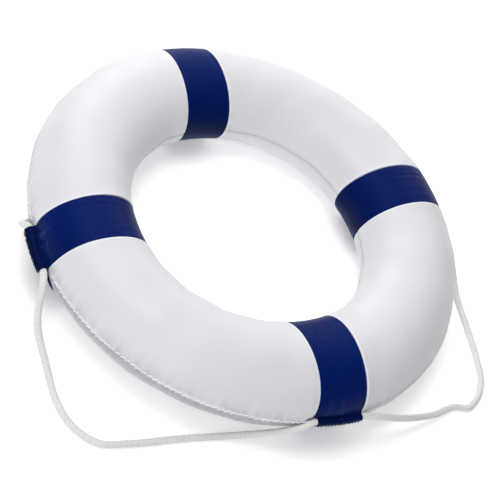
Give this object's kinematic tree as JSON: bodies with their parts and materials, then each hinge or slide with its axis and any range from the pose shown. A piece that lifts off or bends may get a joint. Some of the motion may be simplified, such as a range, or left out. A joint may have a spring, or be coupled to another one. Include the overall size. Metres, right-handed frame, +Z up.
{
  "type": "ring lifebuoy",
  "caption": "Soft foam ring lifebuoy in a white sewn cover, with navy bands wrapped round the tube and a braided grab rope looped round the outside.",
  "frame": {"origin": "on the surface that the ring rests on, below the middle of the ring", "axes": "+Z up, square to the ring's plane; +X and +Y through the middles of two neighbouring bands"},
  "size_m": [0.566, 0.5465, 0.097],
  "materials": {
    "cover_leatherette": "white PVC leatherette, satin",
    "band_leatherette": "navy PVC leatherette, satin",
    "foam": "closed-cell polyethylene foam, matt",
    "white_thread": "bonded nylon thread",
    "navy_thread": "bonded nylon thread",
    "rope": "white braided polypropylene"
  },
  "bodies": {
    "root": {"foam_upper": "foam", "foam_lower": "foam", "cover_upper": "cover_leatherette", "cover_lower": "cover_leatherette", "inner_seam_thread": "white_thread", "outer_seam_thread": "white_thread", "band_right": "band_leatherette", "band_top": "band_leatherette", "band_left": "band_leatherette", "band_bottom": "band_leatherette", "sleeve_thread_right": "navy_thread", "sleeve_thread_top": "navy_thread", "sleeve_thread_left": "navy_thread", "sleeve_thread_bottom": "navy_thread", "grab_rope": "rope"}
  },
  "joints": []
}
